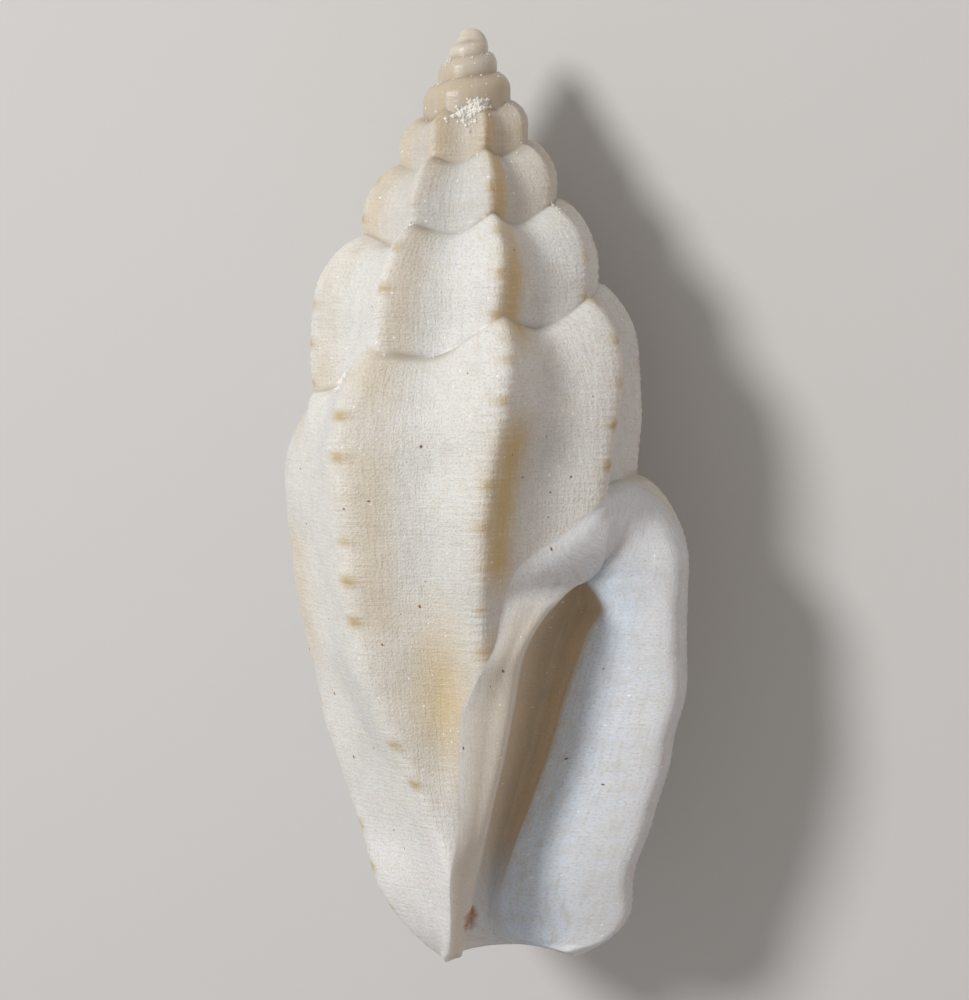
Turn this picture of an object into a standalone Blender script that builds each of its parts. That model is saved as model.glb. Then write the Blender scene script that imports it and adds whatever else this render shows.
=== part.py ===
"""A ribbed sea snail shell, lying on its back with its opening up.

The shell is worked out in its own frame, in millimetres: depth runs from the apex towards the front
end, side runs from the axis towards the outer lip, and front runs from the axis towards the opening.
A place on the spiral is an angle back from the lip, in degrees, so it grows towards the apex.
"""
import math

import bmesh
import bpy
import numpy as np
from mathutils import Matrix, Vector

MM = 0.001
TURN = 360.0
HALF_TURN = 180.0

# Overall size and growth
LENGTH = 10.0
SUTURE_START = -0.20
SUTURE_SPAN = 4.27
SUTURE_SHRINK = 0.83
LAST_TURN_DROP = 0.72
CREST_RADII = [(0, 2.34), (1, 2.10), (2, 1.88), (3, 1.74), (4, 1.42), (5, 1.18)]
RADIUS_SHRINK = 0.815
OLDEST_HALF_TURN = 14.5

# Outline of one turn
SHOULDER_RATIOS = [(0, 0.80), (1, 0.50), (2, 0.50), (4, 0.50), (8, 0.40)]
SHOULDER_POWER = 0.65
SUTURE_STEP = 0.01
TAPER = 0.565
TAPER_POWER = 1.45
RIM_PULL = 0.28
RIM_POWER = 26
END_SWELL = 0.11
END_SWELL_AT = 0.87
END_SWELL_REACH = 0.11
LEAN_OF_FRONT_END = 0.36
LEAN_START = 6.6
LEAN_POWER = 1.3

# Ribs, by angle back from the lip
BODY_RIBS = [0, 46, 102, 163, 228]
FIRST_EVEN_RIB = 283
RIB_SPACING = 45
RIB_RELIEF = 0.15
CREST_ROUNDING = 0.18
SUTURE_SAG = 0.15
SAG_FADES_FROM = 45
SPIRE_SLANT = -10.0
SLANT_REACH = 0.35
FRONT_END_SWING = [(0, 15), (46, 24), (102, 44), (228, 40), (360, 40)]
SWING_START = 0.45
SWING_END = 1.05
RIBS_START = 9.5
RIBS_FULL = 8.0
RIBS_FADE_FROM = 8.5
RIBS_FADE_TO = 10.2
FADED_RIBS = 0.35

# Lip, slit and columella, by depth
LIP_END = -8.0
LIP_STEEPNESS = 1.2
LIP_STEEP_TO = 45.0
CALLUS_EDGE = [(4.86, 333), (4.90, 326), (4.97, 319), (5.17, 312), (5.37, 305), (5.48, 297),
               (5.70, 287), (6.05, 282), (6.36, 280), (6.8, 272), (7.2, 265.5), (8.06, 260),
               (8.92, 252), (9.5, 243), (9.8, 233), (LENGTH, 212)]
COLUMELLA_SIDE = [(4.9, 1.76), (5.26, 1.51), (5.48, 1.45), (5.69, 1.35), (5.83, 1.24), (5.89, 1.08),
                  (6.02, 0.90), (6.19, 0.75), (6.58, 0.55), (7.04, 0.46), (7.65, 0.355), (8.04, 0.27),
                  (8.72, 0.13), (9.36, 0.0), (LENGTH, -0.10)]
COLUMELLA_FRONT = [(4.9, 0.50), (5.05, 0.95), (5.26, 1.12), (5.48, 1.08), (5.69, 0.95), (5.83, 0.86),
                   (5.92, 1.10), (6.02, 1.35), (6.3, 1.45), (7.2, 1.38), (7.74, 1.22), (8.28, 1.06),
                   (8.82, 0.90), (9.36, 0.72), (LENGTH, 0.46)]
SLIT_WIDTH = [(4.9, 0.03), (5.83, 0.03), (5.89, 0.20), (6.02, 0.48), (6.19, 0.68), (6.55, 0.70),
              (7.2, 0.62), (7.72, 0.57), (8.36, 0.48), (8.83, 0.40), (9.36, 0.36), (9.7, 0.48),
              (LENGTH, 0.78)]
SLIT_FLOOR = [(4.9, 0.48), (5.05, 0.93), (5.26, 1.08), (5.48, 1.02), (5.69, 0.86), (5.83, 0.66),
              (5.89, 0.40), (6.02, 0.25), (6.34, 0.12), (7.2, 0.05), (8.3, -0.02), (8.9, -0.03),
              (9.36, 0.02), (LENGTH, -0.08)]
SLIT_EDGE_FRONT = [(4.9, 0.48), (5.05, 0.93), (5.26, 1.08), (5.48, 1.00), (5.69, 0.90), (5.83, 0.80),
                   (6.19, 0.72), (6.62, 0.58), (7.2, 0.46), (8.28, 0.30), (9.36, 0.10), (LENGTH, -0.05)]
LIP_WIDTH = [(4.9, 0.08), (5.05, 0.12), (5.4, 0.18), (7.0, 0.22), (9.0, 0.20), (LENGTH, 0.12)]
LIP_FRONT = [(4.9, 0.45), (5.05, 0.72), (5.26, 0.90), (5.6, 0.98), (7.0, 0.95), (8.5, 0.72), (9.4, 0.45),
             (LENGTH, 0.20)]
OUTER_LIP_BULGE = (0.22, 0.66)
INNER_LIP_BULGE = (0.5, 0.44)
WALL_AT = 0.82
FLOOR_AT = 0.50
SLOPE_AT = 0.05
CALLUS_BULGE = (0.01, 0.03)
CALLUS_PAD = 0.02
RIDGE_HEIGHT = 0.10
RIDGE_WIDTH = 0.30
RIDGE_FROM = 6.3
RIDGE_FULL = 7.3
CALLUS_EDGE_POWER = 4
CALLUS_REACH = 0.9
NOTCH_DEPTH = 0.11

# How the shell lies
ROLL = 16.0
PITCH = -6.5
FLAT_DEPTH = 0.06

# Facets
RIB_STEPS = [0, 0.1, 0.28, 0.5, 0.72, 0.9]
SMOOTH_STEPS = [0, 1 / 3, 2 / 3]
ROWS_BY_HALF_TURN = [(2, 26), (4, 12), (6, 9), (8, 7), (10, 5), (99, 4)]
ROW_CROWDING = 0.6
LIP_STEPS = [2, 2, 2, 2, 1, 1, 1, 1, 1, 2]
DOME_RINGS = [(0.85, 0.5), (0.5, 0.14)]
SHARP_ANGLE = 40.0
SOLVER_ROUNDS = 4
BISECTIONS = 24
SHELL_COLOUR = (0.80, 0.74, 0.64, 1.0)
SHELL_ROUGHNESS = 0.45


def curve_through(knots):
    """Return a smooth function through (place, value) knots that never swings past them."""
    place, value = np.array(knots, float).T
    step = np.diff(place)
    slope = np.diff(value) / step
    tangent = np.concatenate([slope[:1], np.zeros(len(step) - 1), slope[-1:]])
    for i in range(1, len(step)):
        if slope[i - 1] * slope[i] > 0:
            near = step[i - 1] + 2 * step[i]
            far = 2 * step[i - 1] + step[i]
            tangent[i] = (near + far) / (near / slope[i - 1] + far / slope[i])

    def at(x):
        x = np.clip(x, place[0], place[-1])
        i = np.clip(np.searchsorted(place, x) - 1, 0, len(step) - 1)
        u = (x - place[i]) / step[i]
        start = value[i] * (1 + 2 * u) * (1 - u) ** 2 + tangent[i] * step[i] * u * (1 - u) ** 2
        end = value[i + 1] * u ** 2 * (3 - 2 * u) + tangent[i + 1] * step[i] * u ** 2 * (u - 1)
        return start + end

    return at


def fade(x, start, end):
    """Go smoothly from 0 at start to 1 at end."""
    u = np.clip((x - start) / (end - start), 0, 1)
    return u * u * (3 - 2 * u)


def radius_knots():
    """Logarithms of the crest radii by half turn. Above the measured ones they shrink evenly."""
    measured = [(half_turn, math.log(radius)) for half_turn, radius in CREST_RADII]
    last, log_last = measured[-1]
    even = [(last + more, log_last + more * math.log(RADIUS_SHRINK)) for more in (1, 5, 15)]
    return measured + even


log_radius = curve_through(radius_knots())
shoulder_ratio = curve_through(SHOULDER_RATIOS)
front_end_swing = curve_through(FRONT_END_SWING)
columella_side = curve_through(COLUMELLA_SIDE)
columella_front = curve_through(COLUMELLA_FRONT)
slit_width = curve_through(SLIT_WIDTH)
slit_floor = curve_through(SLIT_FLOOR)
slit_edge_front = curve_through(SLIT_EDGE_FRONT)
lip_width = curve_through(LIP_WIDTH)
lip_front = curve_through(LIP_FRONT)
RIB_ANGLES = np.array(BODY_RIBS + [FIRST_EVEN_RIB + RIB_SPACING * i for i in range(60)], float)
NUCLEUS_END = OLDEST_HALF_TURN * HALF_TURN
NUCLEUS_START = NUCLEUS_END - HALF_TURN


def crest_radius(angle):
    return np.exp(log_radius(angle / HALF_TURN))


def suture_trend(angle):
    """Depth of the suture where a rib meets it."""
    half_turns = angle / HALF_TURN
    last_turn = np.cos(np.clip(half_turns, 0, 2) * math.pi / 4) ** 2
    return SUTURE_START + SUTURE_SPAN * SUTURE_SHRINK ** half_turns + LAST_TURN_DROP * last_turn


def below_suture(angle, depth):
    """Share of the way from the suture to the front end."""
    top = suture_trend(angle)
    return (depth - top) / (LENGTH - top)


def rib_slant(angle, depth):
    """How far a rib has swung from its angle at the suture, in degrees."""
    below = below_suture(angle, depth)
    on_spire = SPIRE_SLANT * fade(below, 0, SLANT_REACH) * fade(angle, BODY_RIBS[-1], FIRST_EVEN_RIB)
    return on_spire + front_end_swing(angle) * fade(below, SWING_START, SWING_END)


def rib_fall(angle, depth):
    """0 on a rib's crest and 1 midway between two ribs."""
    straight = angle - rib_slant(angle, depth)
    number = np.interp(np.maximum(straight, 0), RIB_ANGLES, np.arange(len(RIB_ANGLES)))
    wave = np.sqrt(np.sin(math.pi * number) ** 2 + CREST_ROUNDING ** 2)
    fall = (wave - CREST_ROUNDING) / (math.sqrt(1 + CREST_ROUNDING ** 2) - CREST_ROUNDING)
    return fall * (1 - fade(angle / HALF_TURN, RIBS_FULL, RIBS_START))


def shoulder_height(angle):
    return crest_radius(angle) * shoulder_ratio(angle / HALF_TURN)


def wall_radius(angle, depth, ribs=1.0):
    """Radius of a turn's wall below its shoulder, with its ribs or with the gaps between them filled."""
    widest = suture_trend(angle) + shoulder_height(angle)
    v = np.clip((depth - widest) / (LENGTH - widest), 0, 1)
    taper = (1 - TAPER * v ** TAPER_POWER) * (1 - RIM_PULL * v ** RIM_POWER)
    taper *= 1 + END_SWELL * np.exp(-((v - END_SWELL_AT) / END_SWELL_REACH) ** 2)
    relief = RIB_RELIEF * (1 - (1 - FADED_RIBS) * fade(depth, RIBS_FADE_FROM, RIBS_FADE_TO))
    return crest_radius(angle) * taper * (1 - ribs * relief * rib_fall(angle, depth))


def suture_line(angle):
    """Depth of the suture, which sags between the ribs and runs straight near the lip."""
    top = suture_trend(angle)
    sag = SUTURE_SAG * crest_radius(angle + TURN) * rib_fall(angle, top)
    return top + sag * fade(angle, LIP_END, SAG_FADES_FROM)


def columella_ridge(angle, depth):
    """Height of the soft ridge that runs along the callus edge to the front end."""
    away = np.radians(callus_angle(depth) - angle) * crest_radius(angle) / RIDGE_WIDTH
    return RIDGE_HEIGHT * np.exp(-away ** 2) * fade(depth, RIDGE_FROM, RIDGE_FULL)


def outer_radius(angle, depth):
    """Radius of the outer wall, which leaves the turn above it at the suture."""
    top = suture_line(angle)
    joint = wall_radius(angle + TURN, top) * (1 + SUTURE_STEP)
    steep = 1 + LIP_STEEPNESS * (1 - fade(angle, LIP_END, LIP_STEEP_TO))
    rise = np.clip(steep * (depth - top) / shoulder_height(angle), 0, 1)
    share = (1 - (1 - rise) ** 2) ** SHOULDER_POWER
    wall = wall_radius(angle, depth) + columella_ridge(angle, depth)
    return joint + (wall - joint) * share


def axis_side(depth):
    """How far the shell's middle leans towards the lip at its front end."""
    return LEAN_OF_FRONT_END * np.clip((depth - LEAN_START) / (LENGTH - LEAN_START), 0, 1) ** LEAN_POWER


def outer_point(angle, depth):
    radius = outer_radius(angle, depth)
    turned = np.radians(angle)
    side = axis_side(depth) + radius * np.cos(turned)
    return np.stack([side, -radius * np.sin(turned), depth + 0 * side], axis=-1)


def slanted_angle(straight, depth):
    """Angle of a column of the wall, which leans as the ribs do."""
    if straight == LIP_END:
        return straight
    angle = straight
    for _ in range(SOLVER_ROUNDS):
        angle = straight + rib_slant(angle, depth)
    return angle


INSERTION_DEPTH = float(suture_line(LIP_END))
CALLUS_CORNER = LIP_END + TURN
CALLUS_END = CALLUS_EDGE[-1][1]
callus_angle = curve_through([(INSERTION_DEPTH, CALLUS_CORNER)] + CALLUS_EDGE)


def past_edge(angle, depth):
    """Whether a place lies past the wall's lower edge, on the next turn or the callus."""
    if angle > CALLUS_CORNER:
        return depth > suture_line(angle - TURN)
    return depth > INSERTION_DEPTH and angle > callus_angle(depth)


def lip_section(depth):
    """Control points across the opening, from the lip's outer wall to the callus edge."""
    outer = outer_point(LIP_END, depth)[:2]
    callus = outer_point(callus_angle(depth), depth)[:2]
    crest = np.array([outer[0] - lip_width(depth), lip_front(depth)])
    edge = np.array([columella_side(depth), columella_front(depth)])
    floor = slit_floor(depth)
    width = slit_width(depth)
    inside = np.array([edge[0] + width, slit_edge_front(depth)])
    full = np.array([
        outer,
        outer + (crest - outer) * OUTER_LIP_BULGE,
        crest,
        crest + (inside - crest) * INNER_LIP_BULGE,
        inside,
        (edge[0] + WALL_AT * width, (floor + inside[1]) / 2),
        (edge[0] + FLOOR_AT * width, floor),
        (edge[0] + SLOPE_AT * width, (floor + edge[1]) / 2),
        edge,
        (edge + callus) / 2 + CALLUS_BULGE,
        callus,
    ])
    share = np.linspace(0, 1, len(full))
    angles = CALLUS_CORNER + share * (callus_angle(depth) - CALLUS_CORNER)
    radius = wall_radius(angles, depth, share ** CALLUS_EDGE_POWER)
    radius *= 1 + CALLUS_PAD * np.sin(math.pi * share)
    turned = np.radians(angles)
    wrap = np.stack([axis_side(depth) + radius * np.cos(turned), -radius * np.sin(turned)], axis=-1)
    wrap += (outer - wrap[0]) * (1 - share[:, None]) ** 2
    wrap[-1] = callus
    return wrap + (full - wrap) * fade(depth, INSERTION_DEPTH, INSERTION_DEPTH + CALLUS_REACH)


def along(controls, steps):
    """Follow a smooth curve through control points, with a given number of steps from each to the next."""
    ends = np.vstack([2 * controls[0] - controls[1], controls, 2 * controls[-1] - controls[-2]])
    points = [controls[:1]]
    for before, start, end, after, count in zip(ends, ends[1:], ends[2:], ends[3:], steps):
        lead = (end - before) / 2
        trail = (after - start) / 2
        u = np.arange(1, count + 1)[:, None] / count
        points.append(start * (1 + 2 * u) * (1 - u) ** 2 + end * u ** 2 * (3 - 2 * u)
                      + lead * u * (1 - u) ** 2 + trail * u ** 2 * (u - 1))
    return np.vstack(points)


class Skin:
    """Points and triangles of one closed surface."""

    def __init__(self):
        self.points = []
        self.faces = []

    def add(self, point):
        self.points.append(tuple(point))
        return len(self.points) - 1

    def stitch(self, one, other, one_keys, other_keys):
        """Fill between two rows of points, in the order of their keys."""
        i = 0
        j = 0
        while i < len(one) - 1 or j < len(other) - 1:
            step_one = j == len(other) - 1 or (i < len(one) - 1 and one_keys[i + 1] <= other_keys[j + 1])
            corner = one[i + 1] if step_one else other[j + 1]
            face = (one[i], other[j], corner)
            if len(set(face)) == 3:
                self.faces.append(face)
            i += step_one
            j += not step_one


def column_angles():
    """Angles of the wall's columns at the suture, from the oldest turn to the lip."""
    angles = []
    for number in range(len(RIB_ANGLES) - 1):
        smooth = RIB_ANGLES[number] > RIBS_START * HALF_TURN
        for step in SMOOTH_STEPS if smooth else RIB_STEPS:
            angles.append(RIB_ANGLES[number] + step * (RIB_ANGLES[number + 1] - RIB_ANGLES[number]))
    return [angle for angle in reversed(angles) if angle < NUCLEUS_END] + [LIP_END]


def rows_at(angle):
    return next(rows for limit, rows in ROWS_BY_HALF_TURN if angle / HALF_TURN < limit)


def row_share(step):
    """Share of the way down a column, with rows closer together near both ends."""
    return step - ROW_CROWDING * math.sin(2 * math.pi * step) / (2 * math.pi)


def column_end(straight, top):
    """Depth where a leaning column of the wall meets its lower edge."""
    if not past_edge(slanted_angle(straight, LENGTH), LENGTH):
        return LENGTH
    above = top
    below = LENGTH
    for _ in range(BISECTIONS):
        middle = (above + below) / 2
        if past_edge(slanted_angle(straight, middle), middle):
            below = middle
        else:
            above = middle
    return above


def wall_column(skin, straight):
    """Add one column of the wall, from the suture to its lower edge."""
    top = float(suture_line(straight))
    top += (float(suture_line(straight - TURN)) - top) * float(fade(straight, NUCLEUS_START, NUCLEUS_END))
    bottom = column_end(straight, top)
    reaches_end = bottom == LENGTH
    rows = rows_at(straight)
    shares = [row_share(row / rows) for row in range(rows + reaches_end)]
    points = []
    for share in shares:
        depth = top + share * (bottom - top)
        points.append(skin.add(outer_point(slanted_angle(straight, depth), depth)))
    last_angle = float(slanted_angle(straight, bottom))
    return {"angle": straight, "points": points, "shares": shares, "last_angle": last_angle,
            "reaches_end": reaches_end}


def build_wall(skin):
    """Add the wall's columns and fill between them. The spiral starts as one point of the next turn."""
    first, *others = column_angles()
    columns = [wall_column(skin, angle) for angle in others]
    start = next(column["points"][0] for column in columns if column["angle"] <= first - TURN)
    columns.insert(0, {"angle": first, "points": [start, start], "shares": [0, 1], "last_angle": first,
                       "reaches_end": False})
    for one, other in zip(columns, columns[1:]):
        skin.stitch(one["points"], other["points"], one["shares"], other["shares"])
    return columns


def build_opening(skin, columns):
    """Fill from the lip over the slit to the callus edge, in level rows, and return the rows."""
    lip = columns[-1]["points"]
    front_end = next(column["points"][-1] for column in columns if column["reaches_end"])
    keys = np.linspace(0, 1, sum(LIP_STEPS) + 1)
    rows = [[lip[0]] * len(keys)]
    for number in lip[1:]:
        depth = skin.points[number][2]
        at_end = depth == LENGTH
        section = along(lip_section(depth), LIP_STEPS)
        notch = NOTCH_DEPTH * np.sin(math.pi * keys) * at_end
        inner = [skin.add((side, front, depth - cut))
                 for (side, front), cut in zip(section[1:-1], notch[1:-1])]
        last = front_end if at_end else skin.add(outer_point(callus_angle(depth), depth))
        rows.append([number] + inner + [last])
    for upper, lower in zip(rows, rows[1:]):
        skin.stitch(upper, lower, keys, keys)
    return rows


def close_seams(skin, columns, rows):
    """Join each turn's lower edge to the next turn's suture, and the last one to the callus edge."""
    hanging = [column for column in columns if not column["reaches_end"]]
    upper = [(column["points"][-1], column["last_angle"]) for column in hanging]
    first_open = next(column for column in columns if column["reaches_end"])
    upper.append((first_open["points"][-1], CALLUS_END))
    oldest = columns[0]["angle"]
    lower = [(column["points"][0], column["angle"] + TURN) for column in columns
             if column["angle"] + TURN <= oldest]
    lower += [(row[-1], float(callus_angle(skin.points[row[-1]][2]))) for row in rows[1:]]
    skin.stitch([point for point, _ in upper], [point for point, _ in lower],
                [-angle for _, angle in upper], [-angle for _, angle in lower])


def close_apex(skin, columns):
    """Cover the first turn with a small dome."""
    oldest = columns[0]["angle"]
    rim = [column["points"][0] for column in columns if column["angle"] >= oldest - TURN]
    keys = list(range(len(rim)))
    outer = rim
    for width, height in DOME_RINGS:
        inner = [skin.add(np.array(skin.points[number]) * (width, width, height)) for number in rim[:-1]]
        inner.append(inner[0])
        skin.stitch(outer, inner, keys, keys)
        outer = inner
    apex = skin.add((0, 0, 0))
    skin.faces += [(one, other, apex) for one, other in zip(outer, outer[1:])]


def close_front_end(skin, columns, rows):
    """Cover the front end with one face, with the canal's notch in it."""
    rim = [column["points"][-1] for column in columns if column["reaches_end"]]
    skin.faces.append(tuple(rim + rows[-1][1:-1]))


def lay_down(bm):
    """Turn the shell onto its back, cut the small flats that it rests on, and centre it."""
    on_back = Matrix(((1, 0, 0), (0, 0, -1), (0, 1, 0))).to_4x4()
    rolled = Matrix.Rotation(math.radians(ROLL), 4, "Y")
    pitched = Matrix.Rotation(math.radians(PITCH), 4, "X")
    bmesh.ops.transform(bm, matrix=pitched @ rolled @ on_back, verts=bm.verts)
    lowest = min(vert.co.z for vert in bm.verts)
    everything = bm.verts[:] + bm.edges[:] + bm.faces[:]
    cut = bmesh.ops.bisect_plane(bm, geom=everything, dist=0.0001, plane_co=(0, 0, lowest + FLAT_DEPTH),
                                 plane_no=(0, 0, -1), clear_outer=True)
    edges = [item for item in cut["geom_cut"] if isinstance(item, bmesh.types.BMEdge)]
    bmesh.ops.holes_fill(bm, edges=edges)
    low = [min(vert.co[i] for vert in bm.verts) for i in range(3)]
    high = [max(vert.co[i] for vert in bm.verts) for i in range(3)]
    middle = Vector(((low[0] + high[0]) / 2, (low[1] + high[1]) / 2, low[2]))
    bmesh.ops.translate(bm, vec=-middle, verts=bm.verts)
    bmesh.ops.scale(bm, vec=(MM, MM, MM), verts=bm.verts)


def shell_material():
    material = bpy.data.materials.new("shell")
    material.use_nodes = True
    surface = material.node_tree.nodes["Principled BSDF"]
    surface.inputs["Base Color"].default_value = SHELL_COLOUR
    surface.inputs["Roughness"].default_value = SHELL_ROUGHNESS
    surface.inputs["Metallic"].default_value = 0.0
    return material


def build_shell():
    skin = Skin()
    columns = build_wall(skin)
    rows = build_opening(skin, columns)
    close_seams(skin, columns, rows)
    close_apex(skin, columns)
    close_front_end(skin, columns, rows)

    mesh = bpy.data.meshes.new("shell")
    mesh.from_pydata(skin.points, [], skin.faces)
    bm = bmesh.new()
    bm.from_mesh(mesh)
    bmesh.ops.recalc_face_normals(bm, faces=bm.faces)
    lay_down(bm)
    bmesh.ops.triangulate(bm, faces=bm.faces)
    bm.to_mesh(mesh)
    bm.free()
    mesh.shade_smooth()
    mesh.set_sharp_from_angle(angle=math.radians(SHARP_ANGLE))
    mesh.materials.append(shell_material())
    shell = bpy.data.objects.new("shell", mesh)
    bpy.context.collection.objects.link(shell)
    return shell


def main():
    for thing in list(bpy.data.objects):
        bpy.data.objects.remove(thing)
    build_shell()


main()
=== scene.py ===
"""A small ribbed sea snail shell on a pale floor, seen from the side of its opening.

The shell is worked out in its own frame, in millimetres: depth runs from the apex towards the front
end, side runs from the axis towards the outer lip, and front runs from the axis towards the opening.
A place on the spiral is an angle back from the lip, in degrees, so it grows towards the apex.
"""
import math
from random import Random

import bmesh
import bpy
import numpy as np
from mathutils import Matrix, Vector


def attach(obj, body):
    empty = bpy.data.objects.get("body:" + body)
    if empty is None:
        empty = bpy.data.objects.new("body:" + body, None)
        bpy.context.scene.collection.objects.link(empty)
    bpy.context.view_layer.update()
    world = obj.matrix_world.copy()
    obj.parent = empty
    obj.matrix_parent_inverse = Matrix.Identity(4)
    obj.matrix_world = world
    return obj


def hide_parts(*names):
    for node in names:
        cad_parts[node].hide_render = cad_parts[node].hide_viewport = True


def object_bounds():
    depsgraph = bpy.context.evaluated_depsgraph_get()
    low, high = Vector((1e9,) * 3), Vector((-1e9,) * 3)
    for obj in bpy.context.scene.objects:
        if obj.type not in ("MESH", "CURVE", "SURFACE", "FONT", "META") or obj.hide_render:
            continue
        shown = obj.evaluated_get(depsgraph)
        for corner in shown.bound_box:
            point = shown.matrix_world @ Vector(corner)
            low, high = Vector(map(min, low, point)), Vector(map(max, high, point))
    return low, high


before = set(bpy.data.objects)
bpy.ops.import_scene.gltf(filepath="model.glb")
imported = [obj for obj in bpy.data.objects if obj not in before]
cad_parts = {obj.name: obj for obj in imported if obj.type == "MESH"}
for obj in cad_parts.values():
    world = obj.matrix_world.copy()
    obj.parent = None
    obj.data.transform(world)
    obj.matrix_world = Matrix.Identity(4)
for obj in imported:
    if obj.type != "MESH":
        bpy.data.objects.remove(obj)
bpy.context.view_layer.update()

MM = 0.001
TURN = 360.0
HALF_TURN = 180.0

# Overall size and growth
LENGTH = 10.0
SUTURE_START = -0.20
SUTURE_SPAN = 4.27
SUTURE_SHRINK = 0.83
LAST_TURN_DROP = 0.72
CREST_RADII = [(0, 2.34), (1, 2.10), (2, 1.88), (3, 1.74), (4, 1.42), (5, 1.18)]
RADIUS_SHRINK = 0.815
EVEN_KNOTS = (1, 5, 15)
OLDEST_HALF_TURN = 14.5

# Outline of one turn
SHOULDER_RATIOS = [(0, 0.80), (1, 0.50), (2, 0.50), (4, 0.50), (8, 0.40)]
SHOULDER_POWER = 0.65
SUTURE_STEP = 0.01
TAPER = 0.565
TAPER_POWER = 1.45
RIM_PULL = 0.28
RIM_POWER = 26
END_SWELL = 0.11
END_SWELL_AT = 0.87
END_SWELL_REACH = 0.11
LEAN_OF_FRONT_END = 0.36
LEAN_START = 6.6
LEAN_POWER = 1.3

# Ribs, by angle back from the lip
BODY_RIBS = [0, 46, 102, 163, 228]
FIRST_EVEN_RIB = 283
RIB_SPACING = 45
EVEN_RIBS = 60
RIB_RELIEF = 0.15
CREST_ROUNDING = 0.18
SUTURE_SAG = 0.15
SAG_FADES_FROM = 45
SPIRE_SLANT = -10.0
SLANT_REACH = 0.35
FRONT_END_SWING = [(0, 15), (46, 24), (102, 44), (228, 40), (360, 40)]
SWING_START = 0.45
SWING_END = 1.05
RIBS_START = 9.5
RIBS_FULL = 8.0
RIBS_FADE_FROM = 8.5
RIBS_FADE_TO = 10.2
FADED_RIBS = 0.35

# Lip, slit and columella, by depth
LIP_END = -8.0
LIP_STEEPNESS = 1.2
LIP_STEEP_TO = 45.0
CALLUS_EDGE = [(4.86, 333), (4.90, 326), (4.97, 319), (5.17, 312), (5.37, 305), (5.48, 297),
               (5.70, 287), (6.05, 282), (6.36, 280), (6.8, 272), (7.2, 265.5), (8.06, 260),
               (8.92, 252), (9.5, 243), (9.8, 233), (LENGTH, 212)]
COLUMELLA_SIDE = [(4.9, 1.76), (5.26, 1.51), (5.48, 1.45), (5.69, 1.35), (5.83, 1.24), (5.89, 1.08),
                  (6.02, 0.90), (6.19, 0.75), (6.58, 0.55), (7.04, 0.46), (7.65, 0.355), (8.04, 0.27),
                  (8.72, 0.13), (9.36, 0.0), (LENGTH, -0.10)]
COLUMELLA_FRONT = [(4.9, 0.50), (5.05, 0.95), (5.26, 1.12), (5.48, 1.08), (5.69, 0.95), (5.83, 0.86),
                   (5.92, 1.10), (6.02, 1.35), (6.3, 1.45), (7.2, 1.38), (7.74, 1.22), (8.28, 1.06),
                   (8.82, 0.90), (9.36, 0.72), (LENGTH, 0.46)]
SLIT_WIDTH = [(4.9, 0.03), (5.83, 0.03), (5.89, 0.20), (6.02, 0.48), (6.19, 0.68), (6.55, 0.70),
              (7.2, 0.62), (7.72, 0.57), (8.36, 0.48), (8.83, 0.40), (9.36, 0.36), (9.7, 0.48),
              (LENGTH, 0.78)]
SLIT_FLOOR = [(4.9, 0.48), (5.05, 0.93), (5.26, 1.08), (5.48, 1.02), (5.69, 0.86), (5.83, 0.66),
              (5.89, 0.40), (6.02, 0.25), (6.34, 0.12), (7.2, 0.05), (8.3, -0.02), (8.9, -0.03),
              (9.36, 0.02), (LENGTH, -0.08)]
SLIT_EDGE_FRONT = [(4.9, 0.48), (5.05, 0.93), (5.26, 1.08), (5.48, 1.00), (5.69, 0.90), (5.83, 0.80),
                   (6.19, 0.72), (6.62, 0.58), (7.2, 0.46), (8.28, 0.30), (9.36, 0.10), (LENGTH, -0.05)]
LIP_WIDTH = [(4.9, 0.08), (5.05, 0.12), (5.4, 0.18), (7.0, 0.22), (9.0, 0.20), (LENGTH, 0.12)]
LIP_FRONT = [(4.9, 0.45), (5.05, 0.72), (5.26, 0.90), (5.6, 0.98), (7.0, 0.95), (8.5, 0.72), (9.4, 0.45),
             (LENGTH, 0.20)]
OUTER_LIP_BULGE = (0.22, 0.66)
INNER_LIP_BULGE = (0.5, 0.44)
WALL_AT = 0.82
FLOOR_AT = 0.50
SLOPE_AT = 0.05
CALLUS_BULGE = (0.01, 0.03)
CALLUS_PAD = 0.02
RIDGE_HEIGHT = 0.10
RIDGE_WIDTH = 0.30
RIDGE_FROM = 6.3
RIDGE_FULL = 7.3
CALLUS_EDGE_POWER = 4
CALLUS_REACH = 0.9
NOTCH_DEPTH = 0.11

# How the shell lies
ROLL = 16.0
PITCH = -6.5
FLAT_DEPTH = 0.06

# Made-up unevenness: a sum of waves that run in different directions
RIPPLE_WAVES = 5
RIPPLE_TURN = 2.4
RIPPLE_SEED_TURN = 1.7
RIPPLE_PITCH = 4.1
RIPPLE_PITCH_STEP = 1.3
RIPPLE_SEED_SHIFT = 2.1
RIPPLE_WEIGHT_STEP = 0.5
RIPPLE_TOTAL = 2.8

# Fine relief. Each pattern has degrees per feature, features per millimetre of depth and a seed
CORD_SPACING = 0.085
CORD_HEIGHT = 0.0065
CORD_HEIGHT_RANGE = (0.7, 0.8)
CORD_HEIGHT_PATTERN = (12, 6, 7)
CORD_WOBBLE = 2.5
CORD_WOBBLE_PATTERN = (25, 2, 3)
CORDS_KEEP_TO_CRESTS = 2.2
CORDS_IN_VALLEYS = 0.12
CORDS_FADE_EARLY = 2
UNEVENNESS = 0.012
UNEVENNESS_PATTERN = (30, 1.5, 5)
UNEVENNESS_RADIUS = 2.0

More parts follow.
